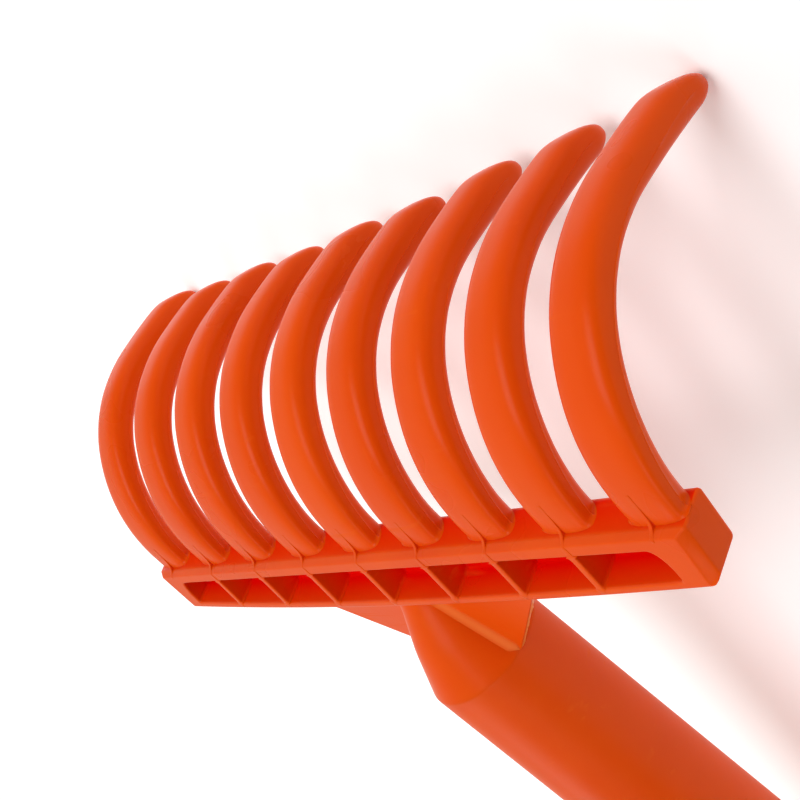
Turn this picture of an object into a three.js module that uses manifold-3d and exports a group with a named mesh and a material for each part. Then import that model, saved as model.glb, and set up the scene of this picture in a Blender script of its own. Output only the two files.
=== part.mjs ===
// Leaf-gathering hand rake: nine hooked tines on a ribbed channel head, a webbed conical
// neck and a hollow handle.  Millimetres, +Z up, lying palm down on its tips and handle end.
// Working frame: X along the head, +Y from the handle towards the tines, Z out of the back.
import * as THREE from "three";
import { mergeVertices } from "three/addons/utils/BufferGeometryUtils.js";
import Module from "manifold-3d";

const wasm = await Module();
wasm.setup();

// ---- driving dimensions -------------------------------------------------------------
const GAP = 0.3; // clearance kept between neighbouring pieces
const TIP_PITCH = 22; // tine spacing at the tips
const ROOT_PITCH = 21.03; // and at the head, so the tines fan out a little
const TINES = 9;

// head: a shallow channel, open to the back of the hand, with one rib below each inner tine
const HEAD_HALF = 88.9; // half length of its open face, at the pockets' upper edge
const END_SLANT = 0.141; // how much longer the head gets per millimetre towards the tines
const HEAD_BEVEL = 1.6; // bevel from the open face to the end face
const HEAD_DEPTH = 7.8; // open face to palm face
const RIM = 2.4; // flat rim above the pockets
const SLOPE_RISE = 0.4; // slope from the rim's face to the shelf the tines stand on
const SLOPE_DEPTH = 1.2;
const POCKET = 9.7; // pocket height at mid length
const BOW = 1.95; // how much shallower the head is at its ends
const PALM_WALL = 1.8;
const LOWER_WALL = 1.5;
const RIB = 1.6;
const DRAW = 0.3; // the channel's walls lean with the mould's draw direction
const END_POCKET = [3.2, 6.4]; // quarter-ellipse corner of the two outer pockets

// tine: a straight root, then an arc, then a slower arc to the bevelled tip
const TINE_ROOT_Y = 1.8; // start of its centre line, inside the head
const TINE_ROOT_Z = -3.7;
const TINE_STRAIGHT = 3.7;
const TINE_RADIUS = 35.5;
const TINE_TURN = 80.8; // degrees round the main arc
const TIP_LENGTH = 19;
const TIP_TURN = 6; // degrees more along the tip
const TIP_EXTRA = [-0.9, -1.4, -0.1, 0.2, 2.4]; // tip length added, from the middle tine outwards
const PROFILE = [0, 0.22, 0.5, 1]; // fractions of its length at which its section is given
const HALF_WIDTH = [5.6, 6.2, 5.3, 3.8];
const BACK_HALF = [1.6, 2.8, 4.3, 2.9]; // centre line to the back face
const PALM_HALF = [4.4, 3.4, 2.2, 4.6]; // centre line to the palm face
const BACK_CORNER = 0.42; // roundness of the section: small is square, 1 is an ellipse
const PALM_CORNER = 0.8;
const TIP_BEVEL = 7.8; // length of the bevel on the back of the tip
const TIP_ROUND = 4.2;
const FIN_REACH = 7; // how far a root fin runs up the tine's back
const FIN_PROUD = 0.3;
const FIN_DROP = 2.2; // how far its front edge falls away over that reach

// neck, webs and handle share one tilted axis
const AXIS_TILT = THREE.MathUtils.degToRad(6.8);
const SHOULDER = [-28.7, -6.8]; // y, z of the cone-to-handle edge, on the axis
const NECK_R = 4.5;
const HANDLE_R = 13.4;
const HANDLE_LENGTH = 205;
const HANDLE_TAPER = 0.009; // radius gained per millimetre
const HANDLE_WALL = 2.6;
const BEAD = 1.1; // rounded bead at the open end
const BEAD_LENGTH = 6;
const WEB = 1.7;
const WEB_HALF = 40; // half width of the webs where they meet the head

// ---- helpers ------------------------------------------------------------------------
const plastic = new THREE.MeshStandardMaterial({ color: 0xf0501a, roughness: 0.38, metalness: 0 });
const hand = new THREE.Group();
hand.name = "leaf_grabber_hand";

const solid = (geometry) => {
  const bare = new THREE.BufferGeometry().setAttribute("position",
    (geometry.index ? geometry.toNonIndexed() : geometry).getAttribute("position"));
  const merged = mergeVertices(bare, 1e-4);
  return new wasm.Manifold(new wasm.Mesh({
    numProp: 3,
    vertProperties: merged.attributes.position.array,
    triVerts: new Uint32Array(merged.index.array),
  }));
};
const extrude = (shape, depth, curveSegments = 8) =>
  new THREE.ExtrudeGeometry(shape, { depth, bevelEnabled: false, curveSegments });
const outline = (points) => new THREE.Shape(points.map(([a, b]) => new THREE.Vector2(a, b)));

// A profile drawn in Y and Z, extruded along X between x0 and x1.
const alongX = (shape, x0, x1) =>
  solid(extrude(shape, x1 - x0).applyMatrix4(new THREE.Matrix4()
    .makeBasis(new THREE.Vector3(0, 1, 0), new THREE.Vector3(0, 0, 1), new THREE.Vector3(1, 0, 0))
    .setPosition(x0, 0, 0)));
// An outline drawn in X and Y, extruded from depth z0 up to z1.
const alongZ = (shape, z0, z1, segments) =>
  solid(extrude(shape, z1 - z0, segments).translate(0, 0, z0));
const block = (x0, x1, y0, y1, z0, z1) =>
  solid(new THREE.BoxGeometry(x1 - x0, y1 - y0, z1 - z0)
    .translate((x0 + x1) / 2, (y0 + y1) / 2, (z0 + z1) / 2));
// Column-major shear that leans the head's depth direction with the draw.
const lean = (s) => s.transform([1, 0, 0, 0, 0, 1, 0, 0, 0, -DRAW, 1, 0, 0, 0, 0, 1]);

const pieces = [];
const piece = (name, manifold) => pieces.push([name, manifold]);

// ---- tines --------------------------------------------------------------------------
const rootX = (i) => ((TINES + 1) / 2 - i) * ROOT_PITCH; // tine 1 is at +X
const fanOut = (i, q) => ((TINES + 1) / 2 - i) * (TIP_PITCH - ROOT_PITCH) * q;
const tineExtra = (i) => TIP_EXTRA[Math.abs(i - (TINES + 1) / 2)];
const shelfY = RIM + SLOPE_RISE;
const along = (v, q) => {
  let k = 0;
  while (k < PROFILE.length - 2 && q > PROFILE[k + 1]) k++;
  return v[k] + ((v[k + 1] - v[k]) * (q - PROFILE[k])) / (PROFILE[k + 1] - PROFILE[k]);
};

const tineLine = (extra) => {
  const arc = TINE_RADIUS * THREE.MathUtils.degToRad(TINE_TURN);
  const tip = TIP_LENGTH + extra;
  const total = TINE_STRAIGHT + arc + tip;
  const heading = (u) => {
    if (u < TINE_STRAIGHT) return 0;
    if (u < TINE_STRAIGHT + arc) return (u - TINE_STRAIGHT) / TINE_RADIUS;
    return THREE.MathUtils.degToRad(TINE_TURN + (TIP_TURN * (u - TINE_STRAIGHT - arc)) / tip);
  };
  const steps = 400, at = [[TINE_ROOT_Y, TINE_ROOT_Z]];
  for (let k = 1; k <= steps; k++) {
    const h = heading(((k - 0.5) / steps) * total), d = total / steps;
    at.push([at[k - 1][0] + Math.cos(h) * d, at[k - 1][1] - Math.sin(h) * d]);
  }
  return { total, heading, point: (u) => at[Math.round((u / total) * steps)] };
};

// The swept solid of one tine; grow widens it all round, for cutting its neighbours.
const tineSolid = (i, grow = 0) => {
  const line = tineLine(tineExtra(i)), round = 14, rings = [];
  const stations = [];
  for (let k = 0; k <= 13; k++) stations.push(((line.total - TIP_BEVEL) * k) / 13);
  for (const s of [0, 0.12, 0.35, 0.6, 0.8, 0.93, 1]) stations.push(line.total - TIP_ROUND * (1 - s));
  for (const u of stations) {
    const q = u / line.total, h = line.heading(u), [cy, cz] = line.point(u);
    const near = Math.max(0, u - (line.total - TIP_ROUND)) / TIP_ROUND;
    const dome = 0.15 + 0.85 * Math.sqrt(Math.max(0, 1 - near * near));
    const bevel = Math.max(0, u - (line.total - TIP_BEVEL)) / TIP_BEVEL;
    const a = along(HALF_WIDTH, q) * (1 - 0.15 * bevel) * dome + grow;
    const top = along(BACK_HALF, q) * (1 - bevel) - 0.2 * bevel, bottom = -along(PALM_HALF, q);
    const waist = (bevel * (top + bottom)) / 2; // the widest level, halfway at the very tip
    const back = (top - waist) * dome + grow, palm = (waist - bottom) * dome + grow;
    const ring = [];
    for (let j = 0; j < round; j++) {
      const t = ((j + 0.5) / round) * 2 * Math.PI, c = Math.cos(t), s = Math.sin(t);
      const corner = s > 0 ? BACK_CORNER : PALM_CORNER;
      const px = Math.sign(c) * Math.abs(c) ** corner * a;
      const n = waist + Math.sign(s) * Math.abs(s) ** corner * (s > 0 ? back : palm);
      ring.push(new THREE.Vector3(rootX(i) + fanOut(i, q) + px,
        cy + n * Math.sin(h), cz + n * Math.cos(h)));
    }
    rings.push(ring);
  }
  if (grow) for (const p of rings[0]) p.y -= grow;
  const centre = (ring) => ring.reduce((s, p) => s.add(p), new THREE.Vector3()).divideScalar(round);
  const first = centre(rings[0]), last = centre(rings.at(-1)), out = [];
  const tri = (...p) => p.forEach((v) => out.push(v.x, v.y, v.z));
  for (let j = 0; j < round; j++) {
    const k = (j + 1) % round;
    tri(first, rings[0][j], rings[0][k]);
    tri(last, rings.at(-1)[k], rings.at(-1)[j]);
    for (let r = 0; r + 1 < rings.length; r++) {
      const [a, b] = [rings[r], rings[r + 1]];
      tri(a[j], b[j], b[k]);
      tri(a[j], b[k], a[k]);
    }
  }
  return solid(new THREE.BufferGeometry()
    .setAttribute("position", new THREE.BufferAttribute(new Float32Array(out), 3)));
};

// Every tine stands on the head's leaning shelf.
const underShelf = lean(block(-120, 120, -20, shelfY + GAP, -30, 10));
for (let i = 1; i <= TINES; i++)
  piece(`tine_${i}`, tineSolid(i).subtract(underShelf));

// ---- head ---------------------------------------------------------------------------
const lowerY = (x, lift = 0) => -POCKET + BOW * (x / HEAD_HALF) ** 2 + lift;
// Outline between the bowed lower edge (raised by lift) and y = top, from x0 to x1.
const bowed = (x0, x1, lift, top, slant = 0) => {
  const s = new THREE.Shape(), mid = (x0 + x1) / 2;
  s.moveTo(x1 + slant * top, top).lineTo(x0 - slant * top, top);
  x0 -= slant * lowerY(x0, lift);
  x1 += slant * lowerY(x1, lift);
  s.lineTo(x0, lowerY(x0, lift));
  const control = 2 * lowerY(mid, lift) - (lowerY(x0, lift) + lowerY(x1, lift)) / 2;
  s.quadraticCurveTo(mid, control, x1, lowerY(x1, lift));
  return s;
};
const wallTop = -HEAD_DEPTH + PALM_WALL; // inner face of the palm wall
const bevelCut = (side) => {
  const x = side * (HEAD_HALF + HEAD_BEVEL), s = new THREE.Shape();
  s.moveTo(x - side * HEAD_BEVEL, 1).lineTo(x + side * 2, 1)
    .lineTo(x + side * 2, -HEAD_BEVEL).lineTo(x, -HEAD_BEVEL);
  const g = extrude(s, 40).rotateX(Math.PI / 2).translate(0, 20, 0);
  return solid(g).transform([1, 0, 0, 0, side * END_SLANT, 1, 0, 0, 0, 0, 1, 0, 0, 0, 0, 1]);
};

const endX = HEAD_HALF + HEAD_BEVEL;
const floorEnd = HEAD_HALF - 8; // the upper and lower walls stop here, at the end blocks
piece("palm_wall", lean(alongZ(bowed(-endX, endX, 0, shelfY, END_SLANT),
  -HEAD_DEPTH, wallTop - GAP / 2, 24)));

// The rib below a tine, the strap over the rim and the fin on the tine's back, as one plate.
const finEnd = shelfY + GAP + FIN_REACH;
const finZ = (y) => FIN_PROUD - FIN_DROP * ((y - RIM) / (finEnd - RIM));
const strap = (grow) => outline([
  [-GAP - grow, FIN_PROUD + grow], [-GAP - grow, -1.6 - grow], [shelfY + 1, -1.6 - grow],
  [finEnd, -2.4], [finEnd, finZ(finEnd)], [RIM + 4, finZ(RIM + 4) + grow],
  [RIM, FIN_PROUD + grow]]);
const finOnly = (grow) => outline([
  [RIM - 0.4 - grow, FIN_PROUD + grow], [RIM - 0.4 - grow, -1.6 - grow], [shelfY + 1, -1.6 - grow],
  [finEnd, -2.4], [finEnd, finZ(finEnd)], [RIM + 4, finZ(RIM + 4) + grow]]);
const fins = [];
for (let i = 1; i <= TINES; i++) {
  const x = rootX(i), outer = i === 1 || i === TINES;
  const shape = outer ? finOnly : strap;
  const grownTine = tineSolid(i, GAP);
  let fin = alongX(shape(0), x - RIB / 2, x + RIB / 2).subtract(grownTine);
  if (!outer) {
    const low = lowerY(x, LOWER_WALL + GAP);
    const plate = lean(block(x - RIB / 2, x + RIB / 2, low, -GAP, wallTop + GAP / 2, 0.001));
    const cap = alongX(outline([[low, -1], [-GAP + 0.2, -1], [-GAP + 0.2, FIN_PROUD],
      [low + 0.6, FIN_PROUD]]), x - RIB / 2, x + RIB / 2);
    fin = fin.add(plate).add(cap);
  }
  const largest = fin.decompose().sort((p, q) => q.volume() - p.volume())[0];
  piece(outer ? `fin_${i}` : `rib_${i}`, largest);
  fins.push(alongX(shape(GAP), x - RIB / 2 - GAP, x + RIB / 2 + GAP));
}
const finCuts = fins.reduce((a, b) => a.add(b));

const shelf = alongX(outline([[0, wallTop + GAP / 2], [shelfY, wallTop + GAP / 2],
  [shelfY, -SLOPE_DEPTH], [RIM, 0], [0, 0]]), -floorEnd, floorEnd);
piece("upper_wall", lean(shelf).subtract(finCuts));
piece("lower_wall", lean(alongZ(bowed(-floorEnd, floorEnd, 0, -4), wallTop + GAP / 2, 0, 24)
  .subtract(alongZ(bowed(-HEAD_HALF, HEAD_HALF, LOWER_WALL, 2), -20, 2, 24))));

for (const side of [1, -1]) {
  const inner = floorEnd + GAP, s = new THREE.Shape();
  // block between the outer pocket's rounded corner and the slanted end face
  const [ea, eb] = END_POCKET, px = HEAD_HALF - 5;
  const to = (x, y) => s.lineTo(x + END_SLANT * y, y);
  s.moveTo(inner, shelfY).lineTo(inner, 0);
  for (let k = 0; k <= 8; k++) {
    const t = ((k / 8) * Math.PI) / 2;
    to(px - ea * (1 - Math.sin(t)), -eb * (1 - Math.cos(t)));
  }
  to(px, lowerY(px, LOWER_WALL));
  s.lineTo(inner, lowerY(inner, LOWER_WALL)).lineTo(inner, lowerY(inner));
  to(endX, lowerY(endX));
  to(endX, shelfY);
  let end = alongZ(s, wallTop + GAP / 2, 0, 6);
  end = end.subtract(alongX(outline([[RIM, 0.01], [shelfY + 0.01, -SLOPE_DEPTH], [shelfY + 1, -1],
    [shelfY + 1, 1], [RIM, 1]]), inner - 5, endX + 5));
  if (side < 0) end = end.mirror([1, 0, 0]);
  end = end.subtract(bevelCut(side));
  piece(side > 0 ? "end_block_right" : "end_block_left", lean(end).subtract(finCuts));
}

// ---- neck, webs and handle ----------------------------------------------------------
const axis = new THREE.Vector3(0, -Math.cos(AXIS_TILT), -Math.sin(AXIS_TILT));
const across = new THREE.Vector3(1, 0, 0);
const placed = (g) => g.applyMatrix4(new THREE.Matrix4()
  .makeBasis(across, axis, new THREE.Vector3().crossVectors(across, axis))
  .setPosition(0, SHOULDER[0], SHOULDER[1]));
const lathe = (points, segments = 40) => solid(placed(new THREE.LatheGeometry(
  points.map(([r, h]) => new THREE.Vector2(r, h)), segments)));
const neckLength = (-SHOULDER[0] - POCKET) / Math.cos(AXIS_TILT);
const neckSlope = (HANDLE_R - NECK_R) / neckLength;
const headBlock = lean(alongZ(bowed(-endX - 1, endX + 1, -GAP, 6), -HEAD_DEPTH - 2, 3, 24));

const coneProfile = (grow) => [[0, -neckLength - 4], [NECK_R - 4 * neckSlope + grow, -neckLength - 4],
  [HANDLE_R + grow, 0], [0, 0]];
const cup = [[0, -10.5], [5.6, -10.5], [HANDLE_R - HANDLE_WALL - 0.6, 0.5], [0, 0.5]];
piece("neck_cone", lathe(coneProfile(0)).subtract(lathe(cup)).subtract(headBlock));

const rEnd = HANDLE_R + HANDLE_TAPER * HANDLE_LENGTH, bore = HANDLE_R - HANDLE_WALL;
const L = HANDLE_LENGTH;
piece("handle_tube", lathe([[bore, GAP], [HANDLE_R, GAP], [rEnd, L - BEAD_LENGTH],
  [rEnd + BEAD * 0.75, L - BEAD_LENGTH + 1], [rEnd + BEAD, L - BEAD_LENGTH / 2],
  [rEnd + BEAD * 0.75, L - 1], [rEnd, L], [bore, L], [bore, GAP]]));

for (const side of [1, -1]) {
  const s = new THREE.Shape();
  s.moveTo(0, 0).lineTo(side * HANDLE_R, 0).lineTo(side * WEB_HALF, -neckLength)
    .lineTo(side * WEB_HALF, -neckLength - 6).lineTo(0, -neckLength - 6);
  const plate = solid(placed(extrude(s, WEB).translate(0, 0, -WEB / 2)));
  const web = plate.subtract(lathe(coneProfile(GAP))).subtract(headBlock);
  piece(side > 0 ? "web_right" : "web_left",
    web.decompose().sort((p, q) => q.volume() - p.volume())[0]);
}

// ---- rest pose: tilt until tips and handle end reach the same level, then set down --------
const geometryOf = (manifold) => {
  const m = manifold.getMesh(), v = new Float32Array(m.numVert * 3);
  for (let k = 0; k < m.numVert; k++)
    v.set(m.vertProperties.subarray(k * m.numProp, k * m.numProp + 3), k * 3);
  return new THREE.BufferGeometry().setAttribute("position", new THREE.BufferAttribute(v, 3))
    .setIndex(new THREE.BufferAttribute(new Uint32Array(m.triVerts), 1));
};
const built = pieces.map(([name, m]) => [name, geometryOf(m)]);
const lowest = (names, angle) => {
  let low = Infinity;
  for (const [name, g] of built.filter(([n]) => n.startsWith(names))) {
    const p = g.getAttribute("position");
    for (let k = 0; k < p.count; k++)
      low = Math.min(low, p.getY(k) * Math.sin(angle) + p.getZ(k) * Math.cos(angle));
  }
  return low;
};
let restTilt = 0;
for (let lo = -0.2, hi = 0.2, k = 0; k < 40; k++) {
  restTilt = (lo + hi) / 2;
  if (lowest("tine_", restTilt) < lowest("handle_", restTilt)) lo = restTilt;
  else hi = restTilt;
}
const turn = new THREE.Matrix4().makeRotationX(restTilt);
const box = new THREE.Box3();
for (const [, g] of built) {
  g.applyMatrix4(turn).computeBoundingBox();
  box.union(g.boundingBox);
}
const drop = new THREE.Vector3(0, -(box.min.y + box.max.y) / 2, -box.min.z);
hand.userData.rest = { tilt: restTilt, shift: drop.toArray() };
for (const [name, g] of built) {
  const flat = g.translate(drop.x, drop.y, drop.z).toNonIndexed();
  flat.computeVertexNormals();
  const mesh = new THREE.Mesh(flat, plastic);
  mesh.name = name;
  hand.add(mesh);
}

export default hand;
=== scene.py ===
"""Leaf-gathering hand rake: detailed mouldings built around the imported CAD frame.

Shapes are drawn in working millimetres (X along the head, +Y from the handle towards the
tines, Z out of the back, z = 0 at the head's open face) and set down in the row frame.
"""
import math

import bmesh
import bpy
import numpy as np
from mathutils import Euler, Matrix, Vector


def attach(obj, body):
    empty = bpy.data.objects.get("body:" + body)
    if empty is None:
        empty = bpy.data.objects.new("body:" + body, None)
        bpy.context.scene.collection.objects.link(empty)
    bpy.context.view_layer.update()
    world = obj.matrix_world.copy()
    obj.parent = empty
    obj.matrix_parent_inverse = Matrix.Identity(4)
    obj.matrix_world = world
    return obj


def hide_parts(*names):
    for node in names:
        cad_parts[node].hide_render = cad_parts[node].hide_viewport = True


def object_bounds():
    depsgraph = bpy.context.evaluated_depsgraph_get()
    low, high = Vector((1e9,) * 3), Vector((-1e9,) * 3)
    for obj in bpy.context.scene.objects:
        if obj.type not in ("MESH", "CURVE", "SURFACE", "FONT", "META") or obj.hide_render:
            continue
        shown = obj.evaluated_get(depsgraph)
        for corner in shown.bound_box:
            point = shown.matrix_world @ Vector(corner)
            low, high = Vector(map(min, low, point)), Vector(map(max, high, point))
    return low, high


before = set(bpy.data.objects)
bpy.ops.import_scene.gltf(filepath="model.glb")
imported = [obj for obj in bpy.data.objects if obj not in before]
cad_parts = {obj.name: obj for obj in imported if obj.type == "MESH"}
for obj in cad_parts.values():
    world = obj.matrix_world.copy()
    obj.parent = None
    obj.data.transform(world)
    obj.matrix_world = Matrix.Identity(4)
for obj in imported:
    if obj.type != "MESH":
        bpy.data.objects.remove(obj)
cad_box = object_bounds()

# ---- rest pose and dimensions of the CAD part (millimetres) ---------------------------
REST_TILT = math.radians(1.70681)
REST_SHIFT = (0.0, 93.3393, 53.7221)

TINES, TIP_PITCH, ROOT_PITCH = 9, 22.0, 21.03
HEAD_HALF, HEAD_BEVEL, HEAD_DEPTH = 88.9, 1.6, 7.8
END_SLANT = 0.141
RIM, SLOPE_RISE, SLOPE_DEPTH = 2.4, 0.4, 1.2
SHELF = RIM + SLOPE_RISE  # the flat that the tines stand on
POCKET, BOW = 9.7, 1.95
PALM_WALL, LOWER_WALL, RIB = 1.8, 1.5, 1.6
FLOOR = -HEAD_DEPTH + PALM_WALL
DRAW = 0.3  # how far the walls lean, per unit of depth
END_POCKET = (3.2, 6.4)  # radii of the outer pockets' corners, along and across
END_X = HEAD_HALF + HEAD_BEVEL

TINE_ROOT_Y, TINE_ROOT_Z, TINE_STRAIGHT, TINE_RADIUS = 1.8, -3.7, 3.7, 35.5
TINE_TURN, TIP_LENGTH, TIP_TURN = 80.8, 19.0, 6.0
TIP_EXTRA = (-0.9, -1.4, -0.1, 0.2, 2.4)  # tip length added, from the middle tine outwards
PROFILE = (0, 0.22, 0.5, 1)  # fractions of a tine's length
HALF_WIDTH, BACK_HALF, PALM_HALF = (5.6, 6.2, 5.3, 3.8), (1.6, 2.8, 4.3, 2.9), (4.4, 3.4, 2.2, 4.6)
BACK_CORNER, PALM_CORNER = 0.62, 0.85  # small is square, 1 is an ellipse
TIP_BEVEL, TIP_ROUND = 7.8, 4.2
FIN_REACH, FIN_PROUD = 6.0, 0.07
PART_LINE = 0.09  # how far the parting line stands off a tine

AXIS_TILT = math.radians(6.8)
SHOULDER = (-28.7, -6.8)
NECK_R, HANDLE_R, HANDLE_LENGTH, HANDLE_TAPER = 4.5, 13.4, 205.0, 0.009
HANDLE_WALL, BEAD, BEAD_LENGTH = 2.6, 1.1, 6.0
WEB, WEB_HALF = 1.7, 40.0

# ---- helpers --------------------------------------------------------------------------


def to_row(points):
    """Working millimetres to row-frame metres."""
    p = np.asarray(points, float).reshape(-1, 3)
    c, s = math.cos(REST_TILT), math.sin(REST_TILT)
    turned = np.stack([p[:, 0], p[:, 1] * c - p[:, 2] * s, p[:, 1] * s + p[:, 2] * c], 1)
    return (turned + REST_SHIFT) / 1000


def leaned(x, v, z):
    """A point of the head, whose walls lean with the mould's draw direction."""
    x, v, z = np.broadcast_arrays(np.asarray(x, float), v, z)
    return np.stack([x, v - DRAW * z, z], -1)


def flare(d, r):
    """Extra half thickness of a fillet of radius r at distance d from the wall."""
    q = np.clip(r - np.asarray(d, float), 0, r)
    return r - np.sqrt(np.maximum(r * r - q * q, 0))


def lower_edge(x):
    """The head's bowed edge on the handle side."""
    return -POCKET + BOW * (np.asarray(x, float) / HEAD_HALF) ** 2


def root_x(i, q=0.0):
    """Middle of tine i at a fraction q of its length; the tines fan out a little."""
    return ((TINES + 1) / 2 - i) * (ROOT_PITCH + (TIP_PITCH - ROOT_PITCH) * q)


def painted_shade_depth(p):
    """Painted shade by how enclosed a point of the head is: 0 on open faces, 1 in the pockets, 0.8 on the
    shelf.
    """
    x, v, z = p[:, 0], p[:, 1] + DRAW * p[:, 2], p[:, 2]
    pocket = (v < 0.15) & (v > lower_edge(x) + LOWER_WALL - 0.2) & (np.abs(x) < HEAD_HALF - 4.5)
    shelf = (v > SHELF - 0.06) & (v < SHELF + 1.0)
    in_pocket = np.where(pocket, np.clip(-z / 1.6, 0, 1), 0)
    return in_pocket + np.where(shelf, 0.8 * np.clip(-z - 1.3, 0, 1), 0)


class Skin:
    """The vertices and faces of one piece, in working millimetres; pale holds per-vertex amounts of pale
    flash and painted highlight.
    """

    def __init__(self):
        self.verts, self.faces, self.pale = [], [], {}

    def ring(self, points):
        """Adds points and returns their indices."""
        base = len(self.verts)
        self.verts.extend(map(tuple, np.asarray(points, float)))
        return list(range(base, len(self.verts)))

    def loft(self, rings):
        """Joins each closed ring to the next one."""
        ids = [self.ring(r) for r in rings]
        for a, b in zip(ids, ids[1:]):
            for j in range(len(a)):
                k = (j + 1) % len(a)
                self.faces.append((a[j], a[k], b[k], b[j]))
        return ids

    def fan(self, ids):
        """Closes a ring with triangles from its middle."""
        centre = self.ring([np.mean([self.verts[i] for i in ids], 0)])[0]
        for j, i in enumerate(ids):
            self.faces.append((centre, i, ids[(j + 1) % len(ids)]))

    def plate(self, middle, half, normal):
        """A plate whose two faces stand half to each side of the middle grid."""
        middle, half, normal = np.asarray(middle), np.asarray(half), np.asarray(normal)
        m, n = half.shape
        front = self.ring((middle + half[..., None] * normal).reshape(-1, 3))
        back = self.ring((middle - half[..., None] * normal).reshape(-1, 3))
        at = lambda ids, i, j: ids[i * n + j]
        for ids in (front, back):
            for i in range(m - 1):
                for j in range(n - 1):
                    self.faces.append((at(ids, i, j), at(ids, i + 1, j),
                                       at(ids, i + 1, j + 1), at(ids, i, j + 1)))
        edge = ([(i, 0) for i in range(m)] + [(m - 1, j) for j in range(1, n)]
                + [(i, n - 1) for i in range(m - 2, -1, -1)]
                + [(0, j) for j in range(n - 2, 0, -1)])
        for (a, b), (c, d) in zip(edge, edge[1:] + edge[:1]):
            self.faces.append((at(front, a, b), at(front, c, d), at(back, c, d), at(back, a, b)))

    def finish(self, name, nodes, material, sharp):
        """Makes the piece, kept within the CAD box, in place of its CAD nodes."""
        mesh = bpy.data.meshes.new(name)
        low, high = np.array(cad_box[0]), np.array(cad_box[1])
        mesh.from_pydata(np.clip(to_row(self.verts), low, high).tolist(), [], self.faces)
        # painted shade: a per-vertex amount that darkens the head's pockets and the shelf between the
        # tines; the tines get none
        painted_shade = mesh.attributes.new("painted_shade", "FLOAT", "POINT")
        on_head = 0 if name.startswith("tine") else 1
        deep = painted_shade_depth(np.array(self.verts)) * on_head
        painted_shade.data.foreach_set("value", deep.astype(np.float32))
        # per-vertex amounts of the pale flash on the webs' free edges and of the painted highlight along
        # their fillets
        pale_flash_and_highlight = mesh.attributes.new("pale_flash_and_highlight", "FLOAT", "POINT")
        for i, amount in self.pale.items():
            pale_flash_and_highlight.data[i].value = amount
        bm = bmesh.new()
        bm.from_mesh(mesh)
        bmesh.ops.remove_doubles(bm, verts=bm.verts, dist=2e-6)
        bmesh.ops.dissolve_degenerate(bm, edges=bm.edges, dist=1e-6)
        bmesh.ops.recalc_face_normals(bm, faces=bm.faces)
        for face in bm.faces:
            face.smooth = True
        bm.to_mesh(mesh)
        bm.free()
        mesh.set_sharp_from_angle(angle=math.radians(sharp))
        obj = bpy.data.objects.new(name, mesh)
        bpy.context.scene.collection.objects.link(obj)
        mesh.materials.append(material)
        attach(obj, "root")
        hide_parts(*nodes)
        return obj


# ---- materials --------------------------------------------------------------------------


def node(tree, kind, **inputs):
    """A new node with its inputs set by name."""
    n = tree.nodes.new(kind)
    for key, value in inputs.items():
        n.inputs[key.replace("_", " ")].default_value = value
    return n


def noise(tree, coords, scale, detail, rough, stretch=None):
    """A noise value, drawn out along an axis where stretch is small."""
    tex = node(tree, "ShaderNodeTexNoise", Scale=scale, Detail=detail, Roughness=rough)
    source = coords
    if stretch:
        mapping = tree.nodes.new("ShaderNodeMapping")
        mapping.inputs["Scale"].default_value = stretch
        tree.links.new(coords, mapping.inputs["Vector"])
        source = mapping.outputs["Vector"]
    tree.links.new(source, tex.inputs["Vector"])
    return tex.outputs["Fac"]


def span(tree, value, low, high, to_low, to_high):
    """A value mapped from one range to another."""
    r = node(tree, "ShaderNodeMapRange", From_Min=low, From_Max=high, To_Min=to_low, To_Max=to_high)
    tree.links.new(value, r.inputs["Value"])
    return r.outputs["Result"]


def math_node(tree, operation, a, b):
    """The result of an operation on two sockets or numbers."""
    n = tree.nodes.new("ShaderNodeMath")
    n.operation = operation
    for socket, value in zip(n.inputs, (a, b)):
        if isinstance(value, (int, float)):
            socket.default_value = value
        else:
            tree.links.new(value, socket)
    return n.outputs[0]


def tint(tree, colour, other, factor):
    """A colour, or a socket's colour, mixed with another by a factor."""
    mix = tree.nodes.new("ShaderNodeMix")
    mix.data_type = "RGBA"
    for key, value in (("A", colour), ("B", other)):
        if isinstance(value, tuple):
            mix.inputs[key].default_value = (*value, 1)
        else:
            tree.links.new(value, mix.inputs[key])
    tree.links.new(factor, mix.inputs["Factor"])
    return mix.outputs["Result"]


def vertex_value(tree, name):
    """A value that each vertex carries."""
    n = tree.nodes.new("ShaderNodeAttribute")
    n.attribute_name = name
    return n.outputs["Fac"]


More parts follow.
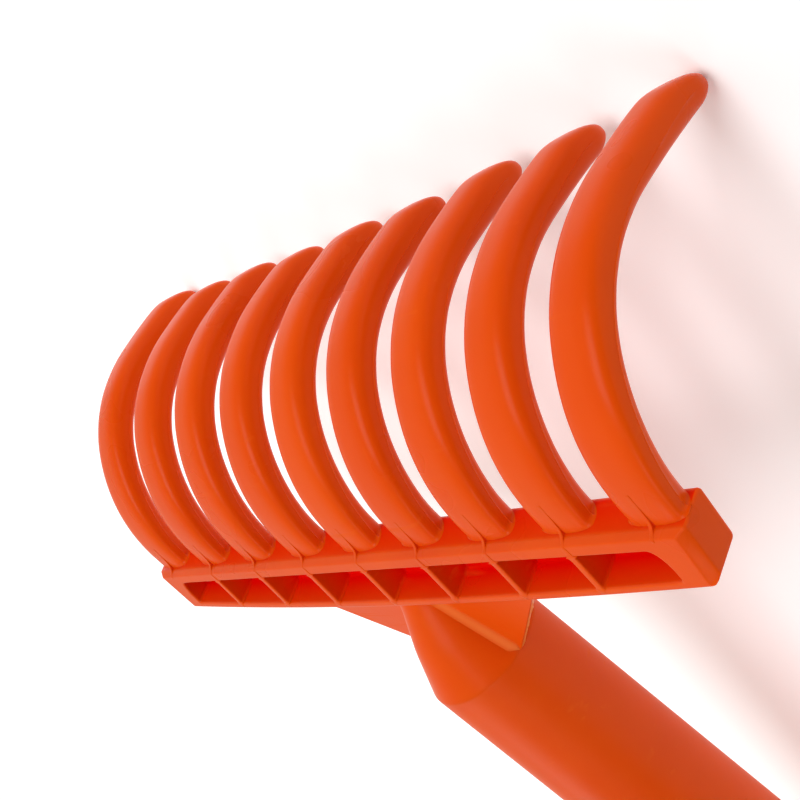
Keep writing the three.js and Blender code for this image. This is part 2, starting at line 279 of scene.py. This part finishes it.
def plastic_material(name, base, deep, roughness, shine, grain, scuff):
    """Glossy moulded polypropylene: pigment clouds, flow streaks, orange peel and fine scuffs."""
    m = bpy.data.materials.new(name)
    m.use_nodes = True
    t = m.node_tree
    shader = t.nodes["Principled BSDF"]
    coords = t.nodes.new("ShaderNodeTexCoord").outputs["Object"]
    clouds = noise(t, coords, 28, 3, 0.55)
    streaks = noise(t, coords, 60, 2, 0.5, stretch=(1.0, 0.12, 0.25))
    speck = noise(t, coords, 900, 2, 0.6)
    mixed = math_node(t, "ADD", math_node(t, "MULTIPLY", clouds, 0.6),
                      math_node(t, "MULTIPLY", streaks, 0.4))
    colour = tint(t, deep, base, span(t, mixed, 0.3, 0.6, 0, 1))
    # painted shade: a darker, redder colour mixed in where the pockets and the shelf are enclosed
    hollow = (base[0], base[1] * 0.02, base[2] * 0.1)
    colour = tint(t, colour, hollow, vertex_value(t, "painted_shade"))
    # pale colour for the flash on the webs' free edges, also used as a painted highlight along the web
    # fillets
    pale = (min(1, base[0] * 1.2), base[1] * 3.4, 0.06)
    colour = tint(t, colour, pale, vertex_value(t, "pale_flash_and_highlight"))
    scratches = noise(t, coords, 420, 2, 0.6, stretch=(0.05, 1.0, 0.6))
    patches = noise(t, coords, 45, 2, 0.5)
    marks = math_node(t, "MULTIPLY", span(t, scratches, 0.62, 0.72, 0, 1),
                      span(t, patches, 0.5, 0.62, 0, 1))
    dusty = (min(1, base[0] * 1.05), base[1] * 1.6, base[2] * 5)
    colour = tint(t, colour, dusty, math_node(t, "MULTIPLY", marks, scuff))
    t.links.new(colour, shader.inputs["Base Color"])
    gloss = math_node(t, "ADD", span(t, clouds, 0.3, 0.7, roughness - 0.05, roughness + 0.06),
                      math_node(t, "MULTIPLY", marks, 0.22))
    t.links.new(gloss, shader.inputs["Roughness"])
    shader.inputs["IOR"].default_value = 1.49
    shader.inputs["Specular IOR Level"].default_value = shine
    shader.inputs["Subsurface Weight"].default_value = 0.12
    shader.inputs["Subsurface Radius"].default_value = (1.0, 0.22, 0.08)
    shader.inputs["Subsurface Scale"].default_value = 0.0025
    peel = noise(t, coords, 260, 2, 0.5)
    height = math_node(t, "ADD", math_node(t, "MULTIPLY", peel, 0.75),
                       math_node(t, "MULTIPLY", speck, 0.25))
    height = math_node(t, "SUBTRACT", height, math_node(t, "MULTIPLY", marks, 0.4))
    bump = node(t, "ShaderNodeBump", Strength=grain, Distance=0.0002)
    t.links.new(height, bump.inputs["Height"])
    t.links.new(bump.outputs["Normal"], shader.inputs["Normal"])
    return m


ORANGE = (0.75, 0.076, 0.0016)
DEEP = (0.70, 0.061, 0.0012)
moulded = plastic_material("moulded_orange", ORANGE, DEEP, roughness=0.29, shine=0.08,
                           grain=0.22, scuff=0.25)
handled = plastic_material("handled_orange", ORANGE, DEEP, roughness=0.4, shine=0.12,
                           grain=0.34, scuff=0.45)

# ---- tines --------------------------------------------------------------------------------


def tine_line(extra):
    """Heading and centre point along one tine, and its whole length."""
    turn, arc = math.radians(TINE_TURN), TINE_RADIUS * math.radians(TINE_TURN)
    tip = TIP_LENGTH + extra
    bend = math.radians(TIP_TURN) / tip

    def at(u):
        if u < TINE_STRAIGHT:
            return 0.0, TINE_ROOT_Y + u, TINE_ROOT_Z
        h = min((u - TINE_STRAIGHT) / TINE_RADIUS, turn)
        y = TINE_ROOT_Y + TINE_STRAIGHT + TINE_RADIUS * math.sin(h)
        z = TINE_ROOT_Z - TINE_RADIUS * (1 - math.cos(h))
        past = u - TINE_STRAIGHT - arc
        if past > 0:
            h = turn + bend * past
            y += (math.sin(h) - math.sin(turn)) / bend
            z += (math.cos(h) - math.cos(turn)) / bend
        return h, y, z

    return at, TINE_STRAIGHT + arc + tip


def along(v, q):
    """A tine's half width or thickness at a fraction q of its length, without corners."""
    w = 0.06
    return float(sum(np.interp(q + d, PROFILE, v) for d in (-w, 0, w)) / 3)


def tine_back_z(y, extra=0.0):
    """Height of a tine's back face over a point near its root."""
    at, total = tine_line(extra)
    lo, hi = 0.0, 20.0
    for _ in range(30):
        mid = (lo + hi) / 2
        h, cy, cz = at(mid)
        back = along(BACK_HALF, mid / total)
        lo, hi = (mid, hi) if cy + back * math.sin(h) < y else (lo, mid)
    h, cy, cz = at(lo)
    return cz + along(BACK_HALF, lo / total) * math.cos(h)


def section_angles():
    """Angles round a tine's section, with three close ones at each parting line."""
    even = [(j + 0.5) / 36 * 2 * math.pi for j in range(36)]
    part = []
    for side in (0.0, math.pi):
        for d in (-0.012, 0.0, 0.012):
            t = d - 0.12 if side == 0 else math.pi + 0.12 + d
            part.append(t % (2 * math.pi))
    clear = [t for t in even if min(abs(t - p) for p in part) > 0.02]
    return sorted(clear + part), part


def build_tine(i):
    """One hooked tine: a wide flat back, a narrow round palm side, a filleted root and a bevelled tip."""
    extra = TIP_EXTRA[abs(2 * i - TINES - 1) // 2]
    at, total = tine_line(extra)
    angles, part = section_angles()
    ridge = {part[1], part[4]}
    shelf_u = SHELF - TINE_ROOT_Y - DRAW * TINE_ROOT_Z  # where the leaning shelf crosses the tine
    fillet = 0.9
    end_limit = END_X + END_SLANT * SHELF - 0.02
    stations = [shelf_u - 1.6, shelf_u - 0.2]
    stations += [shelf_u + fillet * s for s in (0, 0.08, 0.2, 0.38, 0.62, 1.0, 1.5)]
    body_end = total - TIP_ROUND
    count = 92
    stations += [shelf_u + 2.0 + (body_end - shelf_u - 2.0) * k / count for k in range(count)]
    stations += [body_end + TIP_ROUND * math.sin(math.pi / 2 * k / 20) for k in range(21)]
    skin, rings = Skin(), []
    for u in stations:
        q = min(max(u / total, 0), 1)
        h, cy, cz = at(u)
        near = max(0.0, u - body_end) / TIP_ROUND
        dome = math.sqrt(max(0.0, 1 - near * near))
        ramp = (u - (total - TIP_BEVEL)) / TIP_BEVEL
        bevel = min((ramp + math.sqrt(ramp * ramp + 0.05)) / 2, 1)
        soft = 0.04 + 0.96 * dome
        a = along(HALF_WIDTH, q) * (1 - 0.15 * bevel) * soft
        top, bottom = along(BACK_HALF, q) * (1 - bevel) - 0.2 * bevel, -along(PALM_HALF, q)
        waist = bevel * (top + bottom) / 2
        back, palm = (top - waist) * soft, (waist - bottom) * soft
        out = float(flare(u - shelf_u, fillet)) if u >= shelf_u else fillet
        shear = DRAW * (1 - min(max((u - shelf_u) / 9.0, 0), 1)) ** 2
        ring = []
        for t in angles:
            c, s = math.cos(t), math.sin(t)
            corner = BACK_CORNER if s > 0 else PALM_CORNER
            px = math.copysign(abs(c) ** corner, c)
            n = waist + math.copysign(abs(s) ** corner, s) * (back if s > 0 else palm)
            x = px * a + math.copysign(out * abs(px) ** 6, c)
            if t in ridge and 0.02 < q < 0.93:
                x += math.copysign(PART_LINE, c)
            y, z = cy + n * math.sin(h), cz + n * math.cos(h)
            x = root_x(i, q) + x
            if u < shelf_u + 3:
                x = min(max(x, -end_limit), end_limit)
            ring.append((x, y - shear * (z - cz), z))
        rings.append(ring)
    ids = skin.loft(rings)
    skin.fan(ids[0])
    skin.fan(ids[-1])
    return skin.finish(f"tine_{i}", [f"tine_{i}"], moulded, sharp=50)


for i in range(1, TINES + 1):
    build_tine(i)

# ---- head shell -----------------------------------------------------------------------------
SAMPLES = 96  # along each long edge
CORNER = 10  # round each corner


def outline(half, top, lift, top_corner, low_corner):
    """A closed loop round the head at one level: along the top, down the right, back below."""
    tx, ty = top_corner
    r = low_corner
    foot = float(lower_edge(half)) + lift
    arc = [math.pi / 2 * k / CORNER for k in range(1, CORNER)]
    loop = [(x, top) for x in np.linspace(-half + tx, half - tx, SAMPLES)]
    loop += [(half - tx + tx * math.sin(t), top - ty + ty * math.cos(t)) for t in arc]
    loop += [(half, top - ty), (half, foot + r)]
    loop += [(half - r + r * math.cos(t), foot + r - r * math.sin(t)) for t in arc]
    loop += [(x, float(lower_edge(x)) + lift) for x in np.linspace(half - r, r - half, SAMPLES)]
    loop += [(r - half - r * math.sin(t), foot + r - r * math.cos(t)) for t in arc]
    loop += [(-half, foot + r), (-half, top - ty)]
    loop += [(tx - half - tx * math.cos(t), top - ty + ty * math.sin(t)) for t in arc]
    loop = np.array(loop)
    loop[:, 0] *= 1 + END_SLANT * loop[:, 1] / END_X
    return loop


def level(loop, z_top, z_end=None, z_low=None):
    """Depth of each point of a loop, given for its top, its ends and its lower edge."""
    z_end = z_top if z_end is None else z_end
    z_low = z_end if z_low is None else z_low
    c = CORNER - 1
    ease = np.linspace(0, 1, c + 2)[1:-1]
    parts = [np.full(SAMPLES, z_top), z_top + (z_end - z_top) * ease, [z_end] * 2,
             z_end + (z_low - z_end) * ease, np.full(SAMPLES, z_low),
             z_low + (z_end - z_low) * ease, [z_end] * 2, z_end + (z_top - z_end) * ease]
    z = np.concatenate(parts)
    return leaned(loop[:, 0], loop[:, 1], z)


def build_shell():
    """The head's walls and ends as one skin, lofted from the pocket floor round to the palm."""
    skin, rings = Skin(), []
    pocket_half, soft, edge = HEAD_HALF - 5.2, 0.8, 0.35
    ea, eb = END_POCKET

    def pocket(inset, z, drop=0.0):
        """The pocket's outline, drawn in by inset."""
        rings.append(level(outline(pocket_half - inset, -inset, LOWER_WALL + inset,
                                   (ea - 0.6 * inset, eb - 0.6 * inset),
                                   0.6), z))

    pocket(soft + 0.5, FLOOR)
    for k in range(6):
        t = math.pi / 2 * k / 5
        pocket(soft * (1 - math.sin(t)), FLOOR + soft * (1 - math.cos(t)))
    pocket(0, FLOOR + soft + 0.4)
    pocket(-0.06, -edge - 0.35)
    for k in range(5):
        t = math.pi / 2 * k / 4
        pocket(-0.06 - edge * (1 - math.cos(t)), -edge * (1 - math.sin(t)))
    pocket(-0.06 - edge - 0.2, 0)
    face = rings[-1]

    def outer(half, top, lift, r, z_top, z_end, z_low):
        rings.append(level(outline(half, top, lift, (r, r), r), z_top, z_end, z_low))

    h, r, hb = HEAD_HALF, RIM, HEAD_BEVEL
    outer(h - 0.6, r - 0.5, 0.75, 0.3, 0, 0, 0)
    outer(h - 0.22, r - 0.17, 0.4, 0.35, 0, 0, 0)
    outer(h - 0.03, r - 0.02, 0.22, 0.4, -0.05, -0.05, -0.04)
    outer(h + 0.14, r + 0.05, 0.1, 0.45, -0.18, -0.18, -0.1)
    outer(h + 0.8, r + 0.5 * SLOPE_RISE, 0.03, 0.5, -0.5 * SLOPE_DEPTH, -0.5 * hb, -0.18)
    outer(END_X - 0.14, SHELF - 0.04, 0.0, 0.6, -SLOPE_DEPTH + 0.1, -hb + 0.14, -0.3)
    outer(END_X - 0.03, SHELF - 0.01, 0.0, 0.6, -SLOPE_DEPTH - 0.02, -hb - 0.06, -0.5)
    outer(END_X, SHELF, 0.0, 0.65, -SLOPE_DEPTH - 0.2, -hb - 0.3, -0.9)
    outer(END_X, SHELF, 0.0, 0.65, -SLOPE_DEPTH - 0.7, -hb - 0.7, -1.6)
    back_r = (1.2, 0.5, 1.0)  # palm edges: above, at the ends, below
    outer(END_X, SHELF, 0.0, 0.65, *(-HEAD_DEPTH + q + 0.3 for q in back_r))
    for k in range(9):
        t = math.pi / 2 * k / 8
        top_in, end_in, low_in = (q * (1 - math.cos(t)) for q in back_r)
        depths = (-HEAD_DEPTH + q * (1 - math.sin(t)) for q in back_r)
        outer(END_X - end_in, SHELF - top_in, low_in, 0.65, *depths)
    outer(END_X - 1.1, SHELF - 2.0, 1.7, 0.8, -HEAD_DEPTH, -HEAD_DEPTH, -HEAD_DEPTH)
    ids = skin.loft(rings)

    def close(loop):
        """Strips across the loop, between its upper and lower halves."""
        n = len(loop) // 2
        turn = CORNER // 2 + 1
        upper = loop[-turn:] + loop[:n - turn]
        lower = loop[n - turn:-turn][::-1]
        for a in range(len(upper) - 1):
            skin.faces.append((upper[a], upper[a + 1], lower[a + 1], lower[a]))

    close(ids[0])
    close(ids[-1])
    return skin.finish("head_shell", ["palm_wall", "upper_wall", "lower_wall",
                                      "end_block_right", "end_block_left"], moulded, sharp=40)


build_shell()

# ---- ribs, straps and fins --------------------------------------------------------------------


def build_rib(i):
    """The rib of one tine with its strap over the rim and its fin on the tine's back."""
    x, outer = root_x(i), i in (1, TINES)
    low = float(lower_edge(x))
    fin_end = SHELF + 0.3 + FIN_REACH
    columns = []  # v, inner z, ground z, front z, half width, fillet, rounding
    if not outer:
        deep, wall, reach = FLOOR - 0.35, low + LOWER_WALL, 0.5
        for step, front in ((0.14, -0.60), (0.22, -0.16), (0.45, 0.02), (0.9, 0.06)):
            columns.append((low + step, deep, FLOOR, front, 0.7, 0.3, 0.2))
        easing = (0, 0.06, 0.18, 0.38, 0.65, 1.0, 1.5)
        for s in easing:
            half = 0.8 + float(flare(reach * s, reach))
            columns.append((wall + reach * s, deep, FLOOR, 0.06, half, 0.5, 0.3))
        for v in np.linspace(wall + 1.4, -1.2, 7):
            columns.append((v, deep, FLOOR, 0.06, 0.8, 0.5, 0.3))
        for s in reversed(easing):
            front, half = 0.06 + 0.06 * (1 - s / 1.5), 0.8 + float(flare(reach * s, reach))
            columns.append((-reach * s, deep, FLOOR, front, half, 0.5, 0.25))
        for v in (0.3, 0.8, 1.3, 1.9, 2.25):
            columns.append((v, -0.9, 0, FIN_PROUD, 0.8 - 0.19 * v, 0.04, 0.03))
    else:
        columns += [(1.75, -0.9, 0, -0.25, 0.25, 0.05, 0.05),
                    (1.85, -0.9, 0, 0.04, 0.3, 0.02, 0.02),
                    (2.0, -0.9, 0, FIN_PROUD, 0.34, 0.04, 0.03),
                    (2.25, -0.9, 0, FIN_PROUD, 0.36, 0.04, 0.03)]
    crest_v = (0, 2.35, 2.8, 3.5, 4.5, 6, fin_end)
    crest_z = (FIN_PROUD, FIN_PROUD, -0.75, -1.38, -1.58, -1.66, tine_back_z(fin_end) - 0.04)
    for v in [2.4, 2.55, 2.7, 2.85, 3.0, 3.2, 3.5, 3.8, *np.linspace(4.2, fin_end, 16)]:
        nearby = v + np.array([-0.25, -0.12, 0, 0.12, 0.25])
        front = float(np.mean(np.interp(nearby, crest_v, crest_z)))
        slope = -SLOPE_DEPTH * (v - RIM) / SLOPE_RISE
        ground = slope if v < SHELF else tine_back_z(v + 1.3 * DRAW)
        proud = max(front - ground, 0.02)
        r = min(0.16, 0.45 * proud)
        columns.append((v, ground - 0.7, ground, ground + proud, 0.36, r, r))
    v, inner, ground, front, half, fillet, rounding = columns[-1]
    columns.append((v + 0.35, inner, ground, ground - 0.25, 0.4, 0.05, 0.05))
    middle, width = [], []
    for v, inner, ground, front, half, fillet, rounding in columns:
        hold = max(front - rounding - 0.15, ground + fillet) if front > ground else front - 0.2
        rise = [0, 0.06, 0.2, 0.42, 0.7, 1.0]
        rows = [(inner, half + fillet)]
        if front > ground:
            rows += [(ground + fillet * s, half + float(flare(fillet * s, fillet))) for s in rise]
        else:
            rows += [(inner + (hold - inner) * s, half) for s in rise]
        rows += [(hold, half)]
        for k in range(5):
            t = math.pi / 2 * k / 4
            rows.append((front - rounding * (1 - math.sin(t)), half - rounding * (1 - math.cos(t))))
        z = np.array([r[0] for r in rows])
        middle.append(leaned(x, v, z))
        width.append([r[1] for r in rows])
    skin = Skin()
    skin.plate(middle, width, (1, 0, 0))
    name = f"fin_{i}" if outer else f"rib_{i}"
    return skin.finish(name, [name], moulded, sharp=50)


for i in range(1, TINES + 1):
    build_rib(i)

# ---- neck, webs and handle ----------------------------------------------------------------------
AXIS = np.array([0, -math.cos(AXIS_TILT), -math.sin(AXIS_TILT)])
ACROSS = np.array([1.0, 0, 0])
PROUD = np.cross(ACROSS, AXIS)
ORIGIN = np.array([0, SHOULDER[0], SHOULDER[1]])
NECK_LENGTH = (-SHOULDER[0] - POCKET) / math.cos(AXIS_TILT)
NECK_SLOPE = (HANDLE_R - NECK_R) / NECK_LENGTH
ROUND = 96  # points round the neck and handle
SHOULDER_R = 1.8


def on_axis(x, h, n):
    """A point h down the handle's axis, x across it and n proud of the webs' plane."""
    x, h, n = np.broadcast_arrays(np.asarray(x, float), h, n)
    return ORIGIN + x[..., None] * ACROSS + h[..., None] * AXIS + n[..., None] * PROUD


def circle(r, h, seam=0.0):
    """A ring round the axis, raised a little where the two mould halves meet."""
    rings = []
    for k in range(ROUND):
        t = 2 * math.pi * k / ROUND
        raised = seam if k % (ROUND // 2) == 0 else 0.0
        rings.append(on_axis((r + raised) * math.cos(t), h, (r + raised) * math.sin(t)))
    return np.array(rings)


def cone_r(h):
    """The neck cone's radius."""
    return HANDLE_R + h * NECK_SLOPE


def head_face(x, n=0.0):
    """Distance from the shoulder to the head's lower wall, n above or below the webs' plane."""
    c, s = math.cos(AXIS_TILT), math.sin(AXIS_TILT)
    reach = lower_edge(x) - SHOULDER[0] - DRAW * SHOULDER[1] - n * (s - DRAW * c)
    return reach / (c + DRAW * s)


def neck_ring(h, grow=0.0):
    """A ring of the cone; close to the head it flattens and follows the leaning wall."""
    close = min(max((-h - 8) / 11, 0), 1)
    flat = 1 - 0.2 * close * close * (3 - 2 * close)
    follow = min(max((-h - 14.5) / 5, 0), 1)
    t = np.arange(ROUND) * 2 * math.pi / ROUND
    x, n = (cone_r(h) + grow) * np.cos(t), (cone_r(h) * flat + grow) * np.sin(t)
    lift = head_face(x, n) - head_face(0.0)
    return on_axis(x, h - lift * follow, n)


def shoulder_profile():
    """The rounded edge from cone to handle: (radius, h) pairs."""
    cone = np.array([NECK_SLOPE, 1.0]) / math.hypot(NECK_SLOPE, 1)
    tube = np.array([HANDLE_TAPER, 1.0]) / math.hypot(HANDLE_TAPER, 1)
    bend = math.acos(float(np.clip(cone @ tube, -1, 1)))
    back = SHOULDER_R * math.tan(bend / 2)
    start = np.array([HANDLE_R, 0.0]) - back * cone
    outward = np.array([-cone[1], cone[0]])
    centre = start + SHOULDER_R * outward
    arc = []
    for k in range(9):
        t = bend * k / 8
        d = -outward
        arc.append(centre + SHOULDER_R * np.array([d[0] * math.cos(t) - d[1] * math.sin(t),
                                                   d[0] * math.sin(t) + d[1] * math.cos(t)]))
    return arc


def build_neck_and_handle():
    """The conical neck, hollow towards the handle, and the open handle tube with its bead."""
    arc = shoulder_profile()
    split = arc[4]
    near = -head_face(0.0)
    neck = [neck_ring(near - 0.8, 0.6)]
    neck += [neck_ring(near - 0.1 + 1.2 * s, 0.9 * (1 - s)) for s in (0, 0.35, 0.7, 1.0)]
    neck += [neck_ring(h) for h in np.linspace(near + 1.3, arc[0][1] - 0.8, 22)]
    neck += [circle(p[0], p[1]) for p in arc[:5]]
    inside = [(10.3, split[1]), (10.0, -1.6), (7.6, -7.0), (6.2, -9.6), (5.0, -10.4), (2.5, -10.5)]
    skin = Skin()
    ids = skin.loft(neck + [circle(r, h) for r, h in inside])
    skin.fan(ids[0])
    skin.fan(ids[-1])
    skin.finish("neck_cone", ["neck_cone"], moulded, sharp=26)

    end_r, length, bore = HANDLE_R + HANDLE_TAPER * HANDLE_LENGTH, HANDLE_LENGTH, HANDLE_R - HANDLE_WALL
    tube = [(p[0], p[1], 0.0) for p in arc[4:]]
    bead_from, mid = length - BEAD_LENGTH, length - BEAD_LENGTH / 2
    lip, lead = 0.6, 0.6
    for h in np.linspace(1.4, length - BEAD_LENGTH - 1.4, 60):
        tube.append((HANDLE_R + HANDLE_TAPER * h, h, 0.07))
    for s in (0, 0.1, 0.25, 0.45, 0.7, 1.0):
        swell = BEAD * (s * s * (3 - 2 * s))
        tube.append((end_r + swell, bead_from - lead + (mid - bead_from + lead) * s, 0.05))
    tube.append((end_r + BEAD, length - 1.6, 0.0))
    for k in range(6):
        t = math.pi / 2 * k / 5
        tube.append((end_r + BEAD - 1.2 * (1 - math.cos(t)), length - 1.2 * (1 - math.sin(t)), 0))
    tube.append((end_r - 0.9, length, 0))
    for k in range(5):
        t = math.pi / 2 * k / 4
        tube.append((bore + lip * (1 - math.sin(t)), length - lip * (1 - math.cos(t)), 0))
    tube += [(bore, h, 0) for h in np.linspace(length - 1.5, 1.0, 24)]
    tube.append((bore, split[1], 0))
    skin = Skin()
    rings = [circle(*p) for p in tube]
    skin.loft(rings + [rings[0]])
    skin.finish("handle_tube", ["handle_tube"], handled, sharp=50)


build_neck_and_handle()


def build_web(side):
    """One thin web, filleted to the cone and the head, with rough flash on its free edge."""
    half, big = WEB / 2, 1.9
    middle, width = [], []
    marks = [0.25, 0.5, 0.9, 1.4, 2.0] + list(np.linspace(2.7, 18.2, 26))
    marks += [19.0, 19.6, 20.1, 20.5, 20.75, 20.9, 21.4, 22.2]
    for t in marks:
        free = HANDLE_R + (WEB_HALF - HANDLE_R) * min(t / NECK_LENGTH, 1)
        r = max(cone_r(-t), 2.0)
        reach = min(big, 0.62 * (free - r))
        cx = math.sqrt((r + reach) ** 2 - (half + reach) ** 2)
        stop = math.pi + math.atan2(half + reach, cx)
        cells = [(0.72 * cx * r / (r + reach), 0.6 * (half + reach) * r / (r + reach))]
        foot = (cx + reach * math.cos(stop), half + reach + reach * math.sin(stop))
        cells += [(foot[0] + (cx - foot[0]) * k / 8, foot[1] + (half - foot[1]) * k / 8) for k in range(9)]
        body = max(free - cx, 0.02)
        inner = cx + min(0.5, 0.1 * body)
        outer_x = free - min(0.6, 0.3 * body)
        cells += [(x, half) for x in np.linspace(inner, outer_x, 14)]
        soft = min(0.3, 0.5 * (free - outer_x))
        for k in range(5):
            a = math.pi / 2 * k / 4
            cells.append((free - soft * (1 - math.sin(a)), half - soft * (1 - math.cos(a))))
        flash = 0.2 + 0.14 * math.sin(1.1 * t + side) + 0.12 * math.sin(5.3 * t) + 0.08 * math.sin(11.7 * t)
        flash = max(flash, 0.04) * min(1, t / 1.5)
        cells += [(free + 0.02, 0.16), (free + 0.02 + flash, 0.09)]
        x = np.array([c[0] for c in cells])
        w = np.array([c[1] for c in cells])
        gap = head_face(np.minimum(np.abs(x), 60)) - t
        w = np.where(gap > -0.02, np.maximum(w, w + flare(np.maximum(gap, 0), 0.9) * (w > 0.5)), w)
        middle.append(on_axis(side * x, -np.minimum(t, head_face(np.minimum(x, 60)) + 0.8), 0))
        width.append(w)
    skin = Skin()
    skin.plate(middle, width, PROUD)
    # painted highlight along the fillet strip (cells 1 to 9, up to 0.45); the flash cells at the free edge
    # are made fully pale
    cells = width[0].size
    for i, half_width in enumerate(np.ravel(width)):
        j = i % cells
        amount = 0.45 * math.sin(math.pi * (j - 0.5) / 9.5) if 1 <= j <= 9 else 0.0
        amount = 1.0 if j >= cells - 2 else amount
        skin.pale[i] = skin.pale[i + len(middle) * cells] = amount
    name = "web_right" if side > 0 else "web_left"
    return skin.finish(name, [name], moulded, sharp=24)


build_web(1)
build_web(-1)

# ---- floor, light and camera ----------------------------------------------------------------------


def build_floor():
    """A wide pale floor that glows a little on the far side of the hand, to keep shadows soft."""
    m = bpy.data.materials.new("studio_floor")
    m.use_nodes = True
    t = m.node_tree
    shader = t.nodes["Principled BSDF"]
    coords = t.nodes.new("ShaderNodeTexCoord").outputs["Object"]
    cloud = noise(t, coords, 3, 2, 0.5)
    pale = tint(t, (0.89, 0.92, 0.975), (0.91, 0.94, 0.99), cloud)
    t.links.new(pale, shader.inputs["Base Color"])
    shader.inputs["Roughness"].default_value = 0.75
    shader.inputs["Emission Color"].default_value = (1, 1, 1, 1)
    split = t.nodes.new("ShaderNodeSeparateXYZ")
    t.links.new(coords, split.inputs["Vector"])
    glow = span(t, split.outputs["X"], -0.12, 0.16, 0.32, 0.08)
    t.links.new(glow, shader.inputs["Emission Strength"])
    shader.inputs["Specular IOR Level"].default_value = 0.2
    mesh = bpy.data.meshes.new("floor")
    n, reach = 24, 24.0
    line = np.linspace(-reach, reach, n + 1)
    verts = [(x, y, 0.0) for y in line for x in line]
    faces = [(r * (n + 1) + c, r * (n + 1) + c + 1, (r + 1) * (n + 1) + c + 1, (r + 1) * (n + 1) + c)
             for r in range(n) for c in range(n)]
    mesh.from_pydata(verts, [], faces)
    mesh.materials.append(m)
    floor = bpy.data.objects.new("floor", mesh)
    bpy.context.scene.collection.objects.link(floor)


build_floor()


def area_light(name, place, target, size, power, colour):
    """A soft square light at a place, facing a target."""
    data = bpy.data.lights.new(name, "AREA")
    data.shape, data.size, data.size_y = "RECTANGLE", size, size
    data.energy, data.color = power, colour
    lamp = bpy.data.objects.new(name, data)
    bpy.context.scene.collection.objects.link(lamp)
    aim = Vector(target) - Vector(place)
    lamp.matrix_world = Matrix.Translation(place) @ aim.to_track_quat("-Z", "Y").to_matrix().to_4x4()


area_light("key", (0.36, 1.15, 1.95), (0, 0.04, 0.03), 1.3, 29.5, (1, 0.985, 0.955))
area_light("rim", (-0.6, -1.0, 1.1), (0, -0.05, 0.04), 0.6, 3.0, (1, 0.98, 0.95))
area_light("sheen", (1.2, -0.75, 1.85), (0, 0.03, 0.03), 0.9, 8.0, (1, 0.985, 0.97))


def build_world():
    """A soft warm-white surround, bright on the -X side and dim on the +X side."""
    world = bpy.data.worlds.new("studio")
    world.use_nodes = True
    tree = world.node_tree
    axes = tree.nodes.new("ShaderNodeSeparateXYZ")
    tree.links.new(tree.nodes.new("ShaderNodeTexCoord").outputs["Generated"], axes.inputs["Vector"])
    strength = span(tree, axes.outputs["X"], -1, 1, 0.86, 0.05)
    tree.links.new(strength, tree.nodes["Background"].inputs["Strength"])
    tree.nodes["Background"].inputs["Color"].default_value = (1.0, 0.97, 0.84, 1)
    bpy.context.scene.world = world
    bpy.context.scene.view_settings.view_transform = "Standard"


build_world()

CAMERA_PLACE = (0.26893, 0.19951, 0.16722)  # metres
CAMERA_TURN = (-60.098, 35.541, -51.303)  # degrees about X, Y and Z
CAMERA_LENS, CAMERA_SENSOR = 75.915, 36.0  # millimetres
CAMERA_SHIFT = (0.0221, 0.1148)


def build_camera():
    """A close view along the head from tine 1's end, rolled so that the tines stand up."""
    data = bpy.data.cameras.new("camera")
    data.sensor_width, data.lens = CAMERA_SENSOR, CAMERA_LENS
    data.shift_x, data.shift_y = CAMERA_SHIFT
    data.clip_start, data.clip_end = 0.01, 50
    camera = bpy.data.objects.new("camera", data)
    bpy.context.scene.collection.objects.link(camera)
    turn = Euler([math.radians(a) for a in CAMERA_TURN])
    camera.matrix_world = Matrix.LocRotScale(Vector(CAMERA_PLACE), turn, None)
    bpy.context.scene.camera = camera


build_camera()
